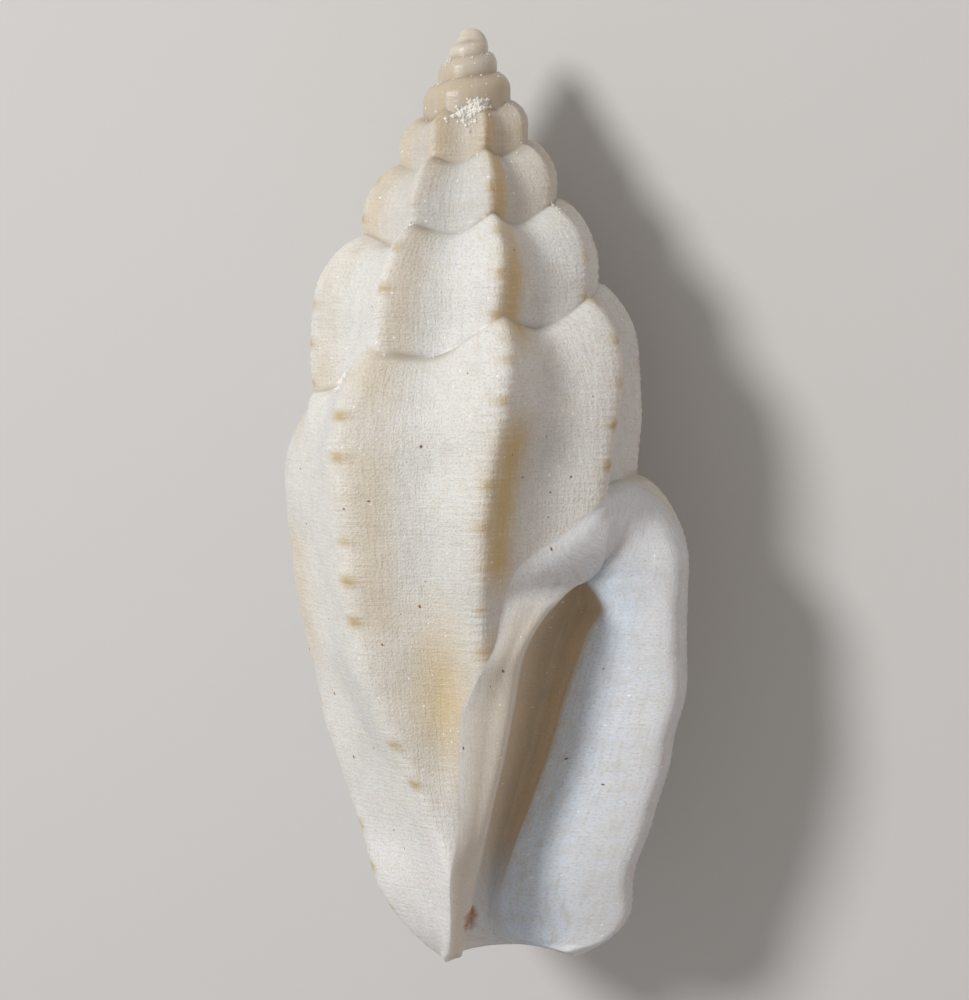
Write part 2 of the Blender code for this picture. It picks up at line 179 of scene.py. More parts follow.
# Fine mesh. Both tables have an end in half turns, and the count up to there
COLUMNS_PER_RIB = [(2, 20), (4, 22), (6, 18), (8, 16), (10, 12), (99, 8)]
ROWS_BY_HALF_TURN = [(2, 168), (4, 66), (6, 48), (8, 34), (10, 26), (99, 18)]
COLUMN_CROWDING = 0.5
END_SPACING = 0.036
MOST_HALVINGS = 6
ROW_CROWDING = 0.25
LIP_STEPS = [9, 9, 10, 12, 7, 5, 5, 5, 8, 14]
DOME_RINGS = [(0.94, 0.72), (0.82, 0.46), (0.64, 0.23), (0.42, 0.08), (0.2, 0.015)]
SOLVER_ROUNDS = 4
BISECTIONS = 20

# Colours, which change along the wall by its age in half turns back from the lip
AGE_COLOURS = [(0, (0.79, 0.79, 0.77)), (2.5, (0.79, 0.79, 0.77)), (3.5, (0.79, 0.80, 0.80)),
               (5, (0.69, 0.68, 0.65)), (7, (0.63, 0.58, 0.50)), (9, (0.57, 0.49, 0.38)),
               (11, (0.57, 0.47, 0.34)), (13, (0.70, 0.65, 0.56))]
FRONT_COLOUR = (0.80, 0.81, 0.82)
SPOT_COLOUR = (0.52, 0.40, 0.20)
# Yellow-brown beside the crests: partly real stain, partly painted shade of the flank that lies in shade
STAIN_AND_SHADE_COLOUR = (0.66, 0.49, 0.23)
COOL_COLOUR = (0.66, 0.68, 0.70)
SEAM_COLOUR = (0.34, 0.26, 0.17)
CALLUS_COLOUR = (0.78, 0.82, 0.88)
COLUMELLA_COLOUR = (0.70, 0.65, 0.57)
LIP_COLOUR = (0.69, 0.72, 0.77)
INNER_LIP_COLOUR = (0.72, 0.83, 0.98)
# Warm brown painted shade inside the slit, where the columella's shadow falls
SLIT_SHADE_COLOUR = (0.76, 0.64, 0.48)
RUST_COLOUR = (0.36, 0.12, 0.02)

# Where the wall's colours lie
MARKS_FADE_EARLY = 1
SPOT_SPACING = 0.43
SPOT_SHIFT = 2.4
SPOT_WIDTH = 0.06
# Band of stain and painted shade on the shaded flank beside each crest, strongest at one rib of each turn
WASH_OFFSET = 0.15
WASH_WIDTH = 0.14
OTHER_WASH = 0.35
WASH_FADES = 6.3
STAINED_AND_SHADED_RIB = 5
RIBS_PER_TURN = 8
FRONT_FROM = 7.6
FRONT_FULL = 9.0
# Patch of the same stain and painted shade low on the front, near the callus edge
BASE_WASH_PLACE = (257, 7.0)
BASE_WASH_SIZE = (13, 0.8)
BASE_WASH = 0.8
COOL_AMOUNT = 0.5
SEAM_AMOUNT = 0.6
SEAM_WIDTH = 0.045

# Patches: features per unit of x and of y, seed and share covered
PATCH_CONTRAST = 1.6
COOL_PATCHES = (0.5, 0.5, 19, 0.2)
WASH_PATCHES = (0.6, 3.3, 13, 0.9)
SPOT_PATCHES = (0.9, 5.1, 11, 0.6)
SEAM_PATCHES = (1.5, 2, 17, 0.3)

# Share of the way over the opening, from the lip's outer wall to the callus edge
INNER_LIP_AT = 0.43
INNER_LIP_REACH = 0.10
LOWER_LIP_ACROSS = (0.3, 0.4)
SLIT_RIGHT_ACROSS = (0.476, 0.536)
SLIT_MIDDLE_AT = 0.62
SLIT_LEFT_ACROSS = (0.69, 0.738)
CALLUS_ACROSS = (0.62, 0.738)
CALLUS_RIM_ACROSS = (0.86, 1.0)
RUST_ACROSS = (0.62, 0.98)
OPENING_WIDTH = 3.0

# Depths over which the opening's colours come in
INNER_LIP_DEPTHS = (5.4, 5.9)
LOWER_LIP_DEPTHS = (8.6, 9.6)
LOWER_LIP_AMOUNT = 0.8
UPPER_CALLUS_DEPTHS = (5.2, 5.8)
COLUMELLA_DEPTHS = (5.6, 6.4)
CALLUS_RIM_DEPTHS = (4.9, 6.6)
# The painted shade in the slit starts below its top and pales down the canal
SLIT_DEPTHS = (5.82, 5.99)
CANAL_DEPTHS = (8.4, 9.3)
CANAL_PALENESS = 0.8

# Rust spot by the canal
RUST_PLACE = (0.0, 9.52)
RUST_SIZE = (0.08, 0.16)
RUST_FEATURES = 12
RUST_SEED = 23
RUST_RAGGEDNESS = 0.25
RUST_EDGE = (0.35, 0.75)

# White grains. A pile has side, depth, spread along the suture and below it, number and largest size
GRAIN_PILES = [(0.0, 0.92, 0.30, 0.12, 80, 0.030), (0.03, 0.96, 0.26, 0.09, 34, 0.065),
               (-1.34, 3.74, 0.08, 0.08, 30, 0.030), (-1.32, 3.76, 0.06, 0.05, 9, 0.070),
               (0.95, 1.66, 0.10, 0.06, 12, 0.020), (-0.75, 2.05, 0.09, 0.06, 10, 0.020)]
PILE_SCATTER = 0.5
PILE_MIDDLE = 0.02
STRAY_GRAINS = 150
STRAY_GRAIN_SIZE = 0.018
STRAY_GRAIN_DROP = 0.03
STRAY_GRAINS_FROM = 22.0
GRAIN_SIZE_SPREAD = (0.5, 1.0)
GRAIN_RAGGEDNESS = 0.3
RANDOM_SEED = 4

# Coarseness of the fine texture, and how far its fades reach at the opening's edges
OLD_COARSENESS = 0.25
LIP_COARSENESS = 0.4
SMOOTH_AT_SLIT = 0.05
SMOOTH_AT_CALLUS_EDGE = 0.04
SMOOTH_AT_LIP_EDGE = 0.03
SMOOTH_AT_LIP_DEGREES = 2

# Angle from which lengths along the spiral are counted
LENGTHS_FROM = -38.0

# Noise: features per millimetre along the spiral and down the wall, and finer detail
STRIAE_NOISE = (3.0, 34.0, 2.0)
GROWTH_NOISE = (26.0, 3.0, 2.0)
MOTTLE_NOISE = (8.0, 6.0, 4.0)
SPECKLE_NOISE = (38.0, 38.0, 1.0)
SPARKLE_NOISE = (24.0, 24.0, 0.0)
SPECK_NOISE = (12.0, 12.0, 0.0)

# Levels of the noise at which each mark starts and is full, its strength and its colour
MOTTLE_LEVELS = (0.45, 0.75)
MOTTLE_DARKNESS = 0.28
MOTTLE_COLOUR = (0.56, 0.50, 0.40)
SPECKLE_LEVELS = (0.5, 0.75)
SPECKLE_DARKNESS = 0.55
LINE_LEVELS = (1.0, 1.3)
LINE_LIGHTNESS = 0.22
LINE_COLOUR = (0.92, 0.91, 0.89)
# Sparkles: glints off the sugary surface, painted into the colour as white specks
SPARKLE_LEVELS = (0.79, 0.84)
PAINTED_GLINT_COLOUR = (1.0, 1.0, 1.0)
VEIN_LEVELS = (0.5, 0.75)
VEIN_DARKNESS = 0.5
VEIN_COLOUR = (0.56, 0.55, 0.54)
VEIN_COARSENESS = (0.4, 0.8)
SPECK_LEVELS = (0.855, 0.87)
SPECK_COLOUR = (0.28, 0.17, 0.10)

# Colour sockets of a mix node
MIX_UNDER = 6
MIX_OVER = 7
MIX_RESULT = 2

# Surface of the shell and of the grains
BUMP_HEIGHT = 0.010
ROUGHNESS_RANGE = (0.36, 0.55)
SEE_THROUGH = 0.35
SCATTER_RADIUS = (1.0, 0.75, 0.5)
SCATTER_DEPTH = 0.25
SHELL_SHINE = 0.4
GRAIN_COLOUR = (0.86, 0.83, 0.78)
GRAIN_ROUGHNESS = 0.3
GRAIN_SEE_THROUGH = 0.2
GRAIN_SCATTER_DEPTH = 0.02

# Camera: the right-hand view of the photo, a little from the apex end
CAMERA_TILT = 4.0
CAMERA_LENS = 120.0
SENSOR = 36.0
FRAME_HEIGHT = 10.764
CLIP_SHARES = (0.1, 20)

# Floor and lights. A light's direction has shares of the camera's backward, side and up directions
FLOOR_REACH = 200.0
FLOOR_COLOUR = (0.66, 0.66, 0.66)
FLOOR_ROUGHNESS = 0.8
LIGHT_TARGET_HEIGHT = 1.8
KEY_DIRECTION = (1.0, -0.95, 0.38)
KEY_DISTANCE = 80.0
KEY_SIZE = 22.0
KEY_POWER = 0.043
KEY_COLOUR = (1.0, 0.985, 0.96)
FILL_DIRECTION = (0.25, 1.0, -0.1)
FILL_DISTANCE = 90.0
FILL_SIZE = 60.0
FILL_POWER = 0.007
FILL_COLOUR = (1.0, 0.50, 0.32)
STUDIO_COLOUR = (1.0, 0.95, 0.90)
STUDIO_STRENGTH = 0.35


# Curves and unevenness
def curve_through(knots):
    """Return a smooth function through (place, value) knots that never swings past them."""
    place, value = np.array(knots, float).T
    step = np.diff(place)
    slope = np.diff(value) / step
    tangent = np.concatenate([slope[:1], np.zeros(len(step) - 1), slope[-1:]])
    for i in range(1, len(step)):
        if slope[i - 1] * slope[i] > 0:
            before = step[i - 1] + 2 * step[i]
            after = 2 * step[i - 1] + step[i]
            tangent[i] = (before + after) / (before / slope[i - 1] + after / slope[i])

    def at(x):
        x = np.clip(x, place[0], place[-1])
        i = np.clip(np.searchsorted(place, x) - 1, 0, len(step) - 1)
        u = (x - place[i]) / step[i]
        start = value[i] * (1 + 2 * u) * (1 - u) ** 2 + tangent[i] * step[i] * u * (1 - u) ** 2
        end = value[i + 1] * u ** 2 * (3 - 2 * u) + tangent[i + 1] * step[i] * u ** 2 * (u - 1)
        return start + end

    return at


def fade(x, start, end):
    """Go smoothly from 0 at start to 1 at end."""
    u = np.clip((x - start) / (end - start), 0, 1)
    return u * u * (3 - 2 * u)


def ripple(x, y, seed):
    """Smooth made-up unevenness between -1 and 1, with features about one unit long."""
    total = 0.0
    for number in range(RIPPLE_WAVES):
        turned = seed * RIPPLE_SEED_TURN + number * RIPPLE_TURN
        across = x * math.cos(turned) + y * math.sin(turned)
        pitch = RIPPLE_PITCH + RIPPLE_PITCH_STEP * number
        shift = seed * (number + 1) * RIPPLE_SEED_SHIFT
        total = total + np.sin(across * pitch + shift) / (1 + RIPPLE_WEIGHT_STEP * number)
    return total / RIPPLE_TOTAL


# Shape of the wall
def radius_knots():
    """Logarithms of the crest radii by half turn. Above the measured ones they shrink evenly."""
    measured = [(half_turn, math.log(radius)) for half_turn, radius in CREST_RADII]
    last, log_last = measured[-1]
    even = [(last + more, log_last + more * math.log(RADIUS_SHRINK)) for more in EVEN_KNOTS]
    return measured + even


log_radius = curve_through(radius_knots())
shoulder_ratio = curve_through(SHOULDER_RATIOS)
front_end_swing = curve_through(FRONT_END_SWING)
columella_side = curve_through(COLUMELLA_SIDE)
columella_front = curve_through(COLUMELLA_FRONT)
slit_width = curve_through(SLIT_WIDTH)
slit_floor = curve_through(SLIT_FLOOR)
slit_edge_front = curve_through(SLIT_EDGE_FRONT)
lip_width = curve_through(LIP_WIDTH)
lip_front = curve_through(LIP_FRONT)
RIB_ANGLES = np.array(BODY_RIBS + [FIRST_EVEN_RIB + RIB_SPACING * i for i in range(EVEN_RIBS)],
                      float)
NUCLEUS_END = OLDEST_HALF_TURN * HALF_TURN
NUCLEUS_START = NUCLEUS_END - HALF_TURN


def crest_radius(angle):
    """Radius of a turn at the crests of its ribs."""
    return np.exp(log_radius(angle / HALF_TURN))


def suture_trend(angle):
    """Depth of the suture where a rib meets it."""
    half_turns = angle / HALF_TURN
    last_turn = np.cos(np.clip(half_turns, 0, 2) * math.pi / 4) ** 2
    return SUTURE_START + SUTURE_SPAN * SUTURE_SHRINK ** half_turns + LAST_TURN_DROP * last_turn


def below_suture(angle, depth):
    """Share of the way from the suture to the front end."""
    top = suture_trend(angle)
    return (depth - top) / (LENGTH - top)


def on_ribbed_turns(angle, early=0):
    """1 on the ribbed turns and 0 on the smooth oldest ones, fading from some half turns early."""
    return 1 - fade(angle / HALF_TURN, RIBS_FULL - early, RIBS_START)


def rib_slant(angle, depth):
    """How far a rib has swung from its angle at the suture, in degrees."""
    below = below_suture(angle, depth)
    on_spire = SPIRE_SLANT * fade(below, 0, SLANT_REACH) * fade(angle, BODY_RIBS[-1], FIRST_EVEN_RIB)
    return on_spire + front_end_swing(angle) * fade(below, SWING_START, SWING_END)


def rib_number(angle, depth):
    """Which rib a place is on, with the share of the way to the next one."""
    straight = angle - rib_slant(angle, depth)
    return np.interp(np.maximum(straight, 0), RIB_ANGLES, np.arange(len(RIB_ANGLES)))


def rib_fall(angle, depth):
    """0 on a rib's crest and 1 midway between two ribs."""
    wave = np.sqrt(np.sin(math.pi * rib_number(angle, depth)) ** 2 + CREST_ROUNDING ** 2)
    fall = (wave - CREST_ROUNDING) / (math.sqrt(1 + CREST_ROUNDING ** 2) - CREST_ROUNDING)
    return fall * on_ribbed_turns(angle)


def shoulder_height(angle):
    """Depth below the suture at which a turn is widest."""
    return crest_radius(angle) * shoulder_ratio(angle / HALF_TURN)


def wall_radius(angle, depth, ribs=1.0):
    """Radius of a turn's wall below its shoulder, with its ribs or with the gaps between them filled."""
    widest = suture_trend(angle) + shoulder_height(angle)
    v = np.clip((depth - widest) / (LENGTH - widest), 0, 1)
    taper = (1 - TAPER * v ** TAPER_POWER) * (1 - RIM_PULL * v ** RIM_POWER)
    taper *= 1 + END_SWELL * np.exp(-((v - END_SWELL_AT) / END_SWELL_REACH) ** 2)
    relief = RIB_RELIEF * (1 - (1 - FADED_RIBS) * fade(depth, RIBS_FADE_FROM, RIBS_FADE_TO))
    return crest_radius(angle) * taper * (1 - ribs * relief * rib_fall(angle, depth))


def suture_line(angle):
    """Depth of the suture, which sags between the ribs and runs straight near the lip."""
    top = suture_trend(angle)
    sag = SUTURE_SAG * crest_radius(angle + TURN) * rib_fall(angle, top)
    return top + sag * fade(angle, LIP_END, SAG_FADES_FROM)


def wall_ripple(angle, depth, pattern):
    """Unevenness of the wall, with features of a pattern's width, depth and seed."""
    degrees, per_millimetre, seed = pattern
    return ripple(angle / degrees, depth * per_millimetre, seed)


def fine_relief(angle, depth):
    """Height of the fine spiral cords and of the wall's slight unevenness, in millimetres."""
    wobble = CORD_WOBBLE * wall_ripple(angle, depth, CORD_WOBBLE_PATTERN)
    mean, spread = CORD_HEIGHT_RANGE
    cords = np.cos(2 * math.pi * depth / CORD_SPACING + wobble)
    cords *= mean + spread * wall_ripple(angle, depth, CORD_HEIGHT_PATTERN)
    crest = np.clip(1 - CORDS_KEEP_TO_CRESTS * rib_fall(angle, depth), CORDS_IN_VALLEYS, 1)
    uneven = UNEVENNESS * wall_ripple(angle, depth, UNEVENNESS_PATTERN)
    uneven *= np.minimum(crest_radius(angle), UNEVENNESS_RADIUS)
    return (CORD_HEIGHT * cords * crest + uneven) * on_ribbed_turns(angle, CORDS_FADE_EARLY)


def columella_ridge(angle, depth):
    """Height of the soft ridge that runs along the callus edge to the front end."""
    away = np.radians(callus_angle(depth) - angle) * crest_radius(angle) / RIDGE_WIDTH
    return RIDGE_HEIGHT * np.exp(-away ** 2) * fade(depth, RIDGE_FROM, RIDGE_FULL)


def outer_radius(angle, depth):
    """Radius of the outer wall, which leaves the turn above it at the suture."""
    top = suture_line(angle)
    joint = wall_radius(angle + TURN, top) * (1 + SUTURE_STEP)
    steep = 1 + LIP_STEEPNESS * (1 - fade(angle, LIP_END, LIP_STEEP_TO))
    rise = np.clip(steep * (depth - top) / shoulder_height(angle), 0, 1)
    share = (1 - (1 - rise) ** 2) ** SHOULDER_POWER
    wall = wall_radius(angle, depth) + columella_ridge(angle, depth) + fine_relief(angle, depth)
    return joint + (wall - joint) * share


def axis_side(depth):
    """How far the shell's middle leans towards the lip at its front end."""
    return LEAN_OF_FRONT_END * np.clip((depth - LEAN_START) / (LENGTH - LEAN_START), 0, 1) ** LEAN_POWER


def outer_point(angle, depth):
    """Point of the outer wall, as side, front and depth."""
    radius = outer_radius(angle, depth)
    turned = np.radians(angle)
    side = axis_side(depth) + radius * np.cos(turned)
    return np.stack([side, -radius * np.sin(turned), depth + 0 * side], axis=-1)


def slanted_angle(straight, depth):
    """Angle of a column of the wall, which leans as the ribs do."""
    if straight == LIP_END:
        return straight + 0 * depth
    angle = straight
    for _ in range(SOLVER_ROUNDS):
        angle = straight + rib_slant(angle, depth)
    return angle


# Shape of the opening
INSERTION_DEPTH = float(suture_line(LIP_END))
CALLUS_CORNER = LIP_END + TURN
CALLUS_END = CALLUS_EDGE[-1][1]
callus_angle = curve_through([(INSERTION_DEPTH, CALLUS_CORNER)] + CALLUS_EDGE)


def past_edge(angle, depth):
    """Whether a place lies past the wall's lower edge, on the next turn or the callus."""
    if angle > CALLUS_CORNER:
        return depth > suture_line(angle - TURN)
    return depth > INSERTION_DEPTH and angle > callus_angle(depth)


def lip_section(depth):
    """Control points across the opening, from the lip's outer wall to the callus edge."""
    outer = outer_point(LIP_END, depth)[:2]
    callus = outer_point(callus_angle(depth), depth)[:2]
    crest = np.array([outer[0] - lip_width(depth), lip_front(depth)])
    edge = np.array([columella_side(depth), columella_front(depth)])
    floor = slit_floor(depth)
    width = slit_width(depth)
    inside = np.array([edge[0] + width, slit_edge_front(depth)])
    full = np.array([
        outer,
        outer + (crest - outer) * OUTER_LIP_BULGE,
        crest,
        crest + (inside - crest) * INNER_LIP_BULGE,
        inside,
        (edge[0] + WALL_AT * width, (floor + inside[1]) / 2),
        (edge[0] + FLOOR_AT * width, floor),
        (edge[0] + SLOPE_AT * width, (floor + edge[1]) / 2),
        edge,
        (edge + callus) / 2 + CALLUS_BULGE,
        callus,
    ])
    share = np.linspace(0, 1, len(full))
    angles = CALLUS_CORNER + share * (callus_angle(depth) - CALLUS_CORNER)
    radius = wall_radius(angles, depth, share ** CALLUS_EDGE_POWER)
    radius *= 1 + CALLUS_PAD * np.sin(math.pi * share)
    turned = np.radians(angles)
    wrap = np.stack([axis_side(depth) + radius * np.cos(turned), -radius * np.sin(turned)], axis=-1)
    wrap += (outer - wrap[0]) * (1 - share[:, None]) ** 2
    wrap[-1] = callus
    return wrap + (full - wrap) * fade(depth, INSERTION_DEPTH, INSERTION_DEPTH + CALLUS_REACH)


def along(controls, steps):
    """Follow a smooth curve through control points, with a given number of steps from each to the next."""
    ends = np.vstack([2 * controls[0] - controls[1], controls, 2 * controls[-1] - controls[-2]])
    points = [controls[:1]]
    for before, start, end, after, count in zip(ends, ends[1:], ends[2:], ends[3:], steps):
        lead = (end - before) / 2
        trail = (after - start) / 2
        u = np.arange(1, count + 1)[:, None] / count
        points.append(start * (1 + 2 * u) * (1 - u) ** 2 + end * u ** 2 * (3 - 2 * u)
                      + lead * u * (1 - u) ** 2 + trail * u ** 2 * (u - 1))
    return np.vstack(points)


# Surface of points and triangles
class Skin:
    """Points and triangles of one closed surface, with each point's place on the spiral."""

    def __init__(self):
        self.points = []
        self.places = []
        self.faces = []

    def add(self, point, angle, across=-1.0):
        """Add a point. Across runs from 0 to 1 over the opening and is -1 on the wall."""
        self.points.append(tuple(point))
        self.places.append((float(angle), float(point[2]), across))
        return len(self.points) - 1

    def stitch(self, one, other, one_keys, other_keys):
        """Fill between two rows of points, in the order of their keys."""
        i = 0
        j = 0
        while i < len(one) - 1 or j < len(other) - 1:
            step_one = j == len(other) - 1 or (i < len(one) - 1 and one_keys[i + 1] <= other_keys[j + 1])
            corner = one[i + 1] if step_one else other[j + 1]
            face = (one[i], other[j], corner)
            if len(set(face)) == 3:
                self.faces.append(face)
            i += step_one
            j += not step_one


def crowded(step, crowding):
    """Even steps from 0 to 1, moved closer together near both ends."""
    return step - crowding * np.sin(2 * math.pi * step) / (2 * math.pi)


def count_at(table, angle):
    """Count that a table of (end in half turns, count) gives for an angle."""
    return next(count for limit, count in table if angle / HALF_TURN < limit)


def column_angles():
    """Angles of the wall's columns at the suture, from the oldest turn to the lip."""
    angles = []
    for start, end in zip(RIB_ANGLES, RIB_ANGLES[1:]):
        count = count_at(COLUMNS_PER_RIB, start)
        angles += list(start + crowded(np.arange(count) / count, COLUMN_CROWDING) * (end - start))
    angles = [angle for angle in reversed(angles) if angle < NUCLEUS_END] + [LIP_END]
    dense = angles[:1]
    for one, other in zip(angles, angles[1:]):
        dense += filled_in(one, other) if one < CALLUS_CORNER else [other]
    return dense


def column_end(straight, top):
    """Depth where a leaning column of the wall meets its lower edge."""
    if not past_edge(slanted_angle(straight, LENGTH), LENGTH):
        return LENGTH
    above = top
    below = LENGTH
    for _ in range(BISECTIONS):
        middle = (above + below) / 2
        if past_edge(slanted_angle(straight, middle), middle):
            below = middle
        else:
            above = middle
    return above


def column_top(straight):
    """Depth where a column starts. The oldest wall fades into the next turn's suture."""
    top = float(suture_line(straight))
    next_top = float(suture_line(straight - TURN))
    return top + (next_top - top) * float(fade(straight, NUCLEUS_START, NUCLEUS_END))


def filled_in(one, other, halvings=MOST_HALVINGS):
    """Angles between two columns, so that no two neighbours end far apart."""
    gap = abs(column_end(one, column_top(one)) - column_end(other, column_top(other)))
    if halvings == 0 or gap < END_SPACING:
        return [other]
    middle = (one + other) / 2
    return filled_in(one, middle, halvings - 1) + filled_in(middle, other, halvings - 1)


def wall_column(skin, straight):
    """Add one column of the wall, from the suture to its lower edge."""
    top = column_top(straight)
    bottom = column_end(straight, top)
    reaches_end = bottom == LENGTH
    rows = count_at(ROWS_BY_HALF_TURN, straight)
    shares = crowded(np.arange(rows + reaches_end) / rows, ROW_CROWDING)
    depths = top + shares * (bottom - top)
    angles = slanted_angle(straight, depths)
    points = [skin.add(point, angle) for point, angle in zip(outer_point(angles, depths), angles)]
    last_angle = float(slanted_angle(straight, bottom))
    return {"angle": straight, "points": points, "shares": list(shares), "last_angle": last_angle,
            "reaches_end": reaches_end}


def build_wall(skin):
    """Add the wall's columns and fill between them. The spiral starts as one point of the next turn."""
    first, *others = column_angles()
    columns = [wall_column(skin, angle) for angle in others]
    start = next(column["points"][0] for column in columns if column["angle"] <= first - TURN)
    columns.insert(0, {"angle": first, "points": [start, start], "shares": [0, 1], "last_angle": first,
                       "reaches_end": False})
    for one, other in zip(columns, columns[1:]):
        skin.stitch(one["points"], other["points"], one["shares"], other["shares"])
    return columns


def build_opening(skin, columns):
    """Fill from the lip over the slit to the callus edge, in level rows, and return the rows."""
    lip = columns[-1]["points"]
    front_end = next(column["points"][-1] for column in columns if column["reaches_end"])
    keys = list(np.linspace(0, 1, sum(LIP_STEPS) + 1))
    rows = [[lip[0]] * len(keys)]
    for number in lip[1:]:
        depth = skin.points[number][2]
        section = along(lip_section(depth), LIP_STEPS)
        notch = NOTCH_DEPTH * float(fade(depth, LENGTH - 2 * NOTCH_DEPTH, LENGTH))
        edge_angle = float(callus_angle(depth))
        inner = [skin.add((side, front, depth - notch * math.sin(math.pi * key)), edge_angle, key)
                 for (side, front), key in zip(section[1:-1], keys[1:-1])]
        last = front_end if depth == LENGTH else skin.add(outer_point(edge_angle, depth), edge_angle, 1.0)
        rows.append([number] + inner + [last])
    for upper, lower in zip(rows, rows[1:]):
        skin.stitch(upper, lower, keys, keys)
    return rows


def close_seams(skin, columns, rows):
    """Join each turn's lower edge to the next turn's suture, and the last one to the callus edge."""
    hanging = [column for column in columns if not column["reaches_end"]]
    upper = [(column["points"][-1], column["last_angle"]) for column in hanging]
    first_open = next(column for column in columns if column["reaches_end"])
    upper.append((first_open["points"][-1], CALLUS_END))
    oldest = columns[0]["angle"]
    lower = [(column["points"][0], column["angle"] + TURN) for column in columns
             if column["angle"] + TURN <= oldest]
    lower += [(row[-1], float(callus_angle(skin.points[row[-1]][2]))) for row in rows[1:]]
    skin.stitch([point for point, _ in upper], [point for point, _ in lower],
                [-angle for _, angle in upper], [-angle for _, angle in lower])


def close_apex(skin, columns):
    """Cover the first turn with a small dome."""
    oldest = columns[0]["angle"]
    outer = [column["points"][0] for column in columns if column["angle"] >= oldest - TURN]
    rim = outer
    keys = list(range(len(rim)))
    for width, height in DOME_RINGS:
        inner = [skin.add(np.array(skin.points[number]) * (width, width, height), oldest)
                 for number in rim[:-1]]
        inner.append(inner[0])
        skin.stitch(outer, inner, keys, keys)
        outer = inner
    apex = skin.add((0, 0, 0), oldest)
    skin.faces += [(one, other, apex) for one, other in zip(outer, outer[1:])]


def close_front_end(skin, columns, rows):
    """Cover the front end, with the canal's notch in it."""
    rim = [column["points"][-1] for column in columns if column["reaches_end"]]
    opening = rows[-1]
    rim_keys = list(np.linspace(0, 1, len(rim)))
    opening_keys = list(np.linspace(0, 1, len(opening)))
    skin.stitch(rim, list(reversed(opening)), rim_keys, opening_keys)


# Resting place, length along the spiral and shading
def resting_matrix():
    """Turn from the shell's frame, as (side, front, depth), to the shell on its back."""
    on_back = Matrix(((1, 0, 0), (0, 0, -1), (0, 1, 0)))
    rolled = Matrix.Rotation(math.radians(ROLL), 3, "Y")
    pitched = Matrix.Rotation(math.radians(PITCH), 3, "X")
    return np.array(pitched @ rolled @ on_back)


RESTING = resting_matrix()


def lay_down(points):
    """Turn the shell onto its back, press its lowest spots flat, and centre it, in metres."""
    placed = points @ RESTING.T
    shift = (placed.min(0) + placed.max(0)) / 2
    shift[2] = placed[:, 2].min() + FLAT_DEPTH
    placed -= shift
    placed[:, 2] = np.maximum(placed[:, 2], 0)
    return placed * MM, shift


def spiral_length(angle):
    """Length along the crests of the spiral to an angle, from a little past the lip."""
    steps = np.arange(LENGTHS_FROM, NUCLEUS_END + TURN, 1.0)
    lengths = np.concatenate([[0], np.cumsum(crest_radius(steps[:-1]) * math.radians(1))])
    return np.interp(angle, steps, lengths)


def face_outwards(mesh):
    """Turn every face the same way round."""
    sheet = bmesh.new()
    sheet.from_mesh(mesh)
    bmesh.ops.recalc_face_normals(sheet, faces=sheet.faces)
    sheet.to_mesh(mesh)
    sheet.free()


def steady_normals(mesh):
    """Shade by the larger faces, so that the thin faces along the seams leave no marks."""
    points = np.array([vertex.co for vertex in mesh.vertices])
    corners = np.array([face.vertices for face in mesh.polygons])
    one, two, three = points[corners.T]
    facing = np.cross(two - one, three - one)
    normals = np.zeros_like(points)
    for corner in corners.T:
        np.add.at(normals, corner, facing)
    normals /= np.linalg.norm(normals, axis=1)[:, None]
    mesh.normals_split_custom_set_from_vertices(normals.tolist())


# Colours of the surface
def blend(colour, other, amount):
    """Mix another colour in, by an amount for each point."""
    return colour + (np.array(other) - colour) * np.asarray(amount)[:, None]


def patches(x, y, pattern):
    """Irregular patches from 0 to 1 that cover about a pattern's share of the surface."""
    per_x, per_y, seed, share = pattern
    level = ripple(x * per_x, y * per_y, seed) + share - 0.5
    return np.clip(0.5 + level * PATCH_CONTRAST, 0, 1)


def near(x, middle, width):
    """1 at the middle, falling smoothly to about 0 at twice the width from it."""
    return np.exp(-((x - middle) / width) ** 2)


def seam_nearness(angle, depth):
    """1 at the sutures above and below a place on the wall, and 0 away from them."""
    above = near(depth, suture_line(angle), SEAM_WIDTH)
    below = near(depth, suture_line(angle - TURN), SEAM_WIDTH)
    return np.where(angle > CALLUS_CORNER, np.maximum(above, below), above)


def age_colour(angle):
    """Colour of the wall by its age, without marks."""
    ages = [age for age, _ in AGE_COLOURS]
    channels = zip(*(shade for _, shade in AGE_COLOURS))
    return np.stack([np.interp(angle / HALF_TURN, ages, channel) for channel in channels], axis=-1)


def stain_and_shade_strength(angle, depth, number):
    """Strength of the yellow-brown band beside the crests, partly real stain and partly painted shade on
    the flank that lies in shade. It is strongest at one rib of each turn, with a patch of it low on the
    front.
    """
    rib = np.round(number)
    stain_and_shade = near(number - rib, WASH_OFFSET, WASH_WIDTH) * patches(depth, rib, WASH_PATCHES)
    stain_and_shade *= np.where((rib - STAINED_AND_SHADED_RIB) % RIBS_PER_TURN == 0, 1, OTHER_WASH)
    stain_and_shade *= 1 - fade(depth, WASH_FADES, FRONT_FROM)
    base = near(angle, BASE_WASH_PLACE[0], BASE_WASH_SIZE[0])
    base *= near(depth, BASE_WASH_PLACE[1], BASE_WASH_SIZE[1])
    return np.clip(stain_and_shade + BASE_WASH * base, 0, 1)


def spot_strength(depth, number):
    """Strength of the yellow-brown spots, which sit in a row along each crest."""
    rib = np.round(number)
    row = np.cos(2 * math.pi * depth / SPOT_SPACING + SPOT_SHIFT * rib)
    return near(number, rib, SPOT_WIDTH) * np.clip(row, 0, 1) ** 2 * patches(depth, rib, SPOT_PATCHES)


